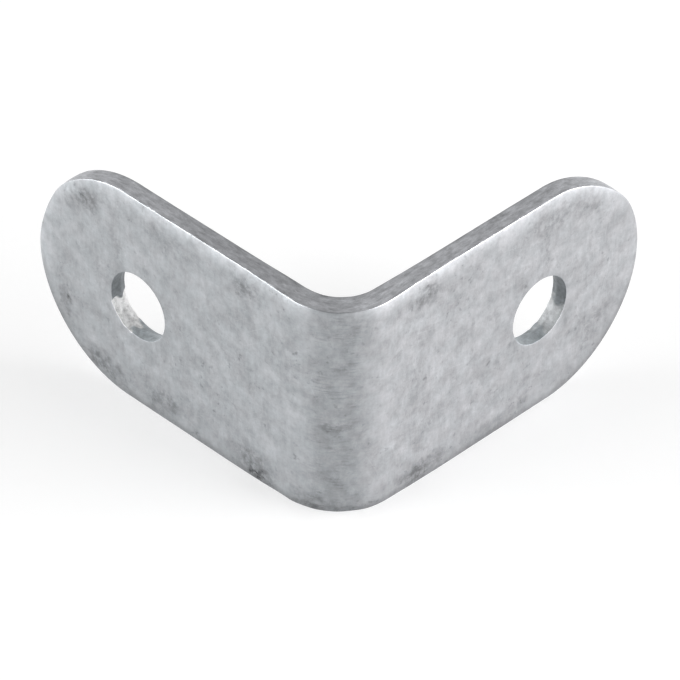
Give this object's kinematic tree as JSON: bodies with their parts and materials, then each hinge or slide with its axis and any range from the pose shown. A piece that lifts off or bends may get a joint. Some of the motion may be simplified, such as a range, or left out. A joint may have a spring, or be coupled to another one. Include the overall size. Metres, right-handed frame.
{
  "type": "corner brace bracket",
  "caption": "Small angle bracket folded from one strip of steel sheet, with round ended legs at a right angle and a screw hole in each leg.",
  "frame": {"origin": "middle of the bounding box, at its bottom, level with the long edge that the bracket stands on", "axes": "+Z along the fold; one leg runs along +X with its outer face towards -Y, the other runs along +Y with its outer face towards -X"},
  "size_m": [0.03, 0.03, 0.018],
  "materials": {
    "steel": "tumbled satin stainless, mottled, with fine scratches and matte sheared edges"
  },
  "bodies": {
    "root": {"bracket": "steel"}
  },
  "joints": []
}
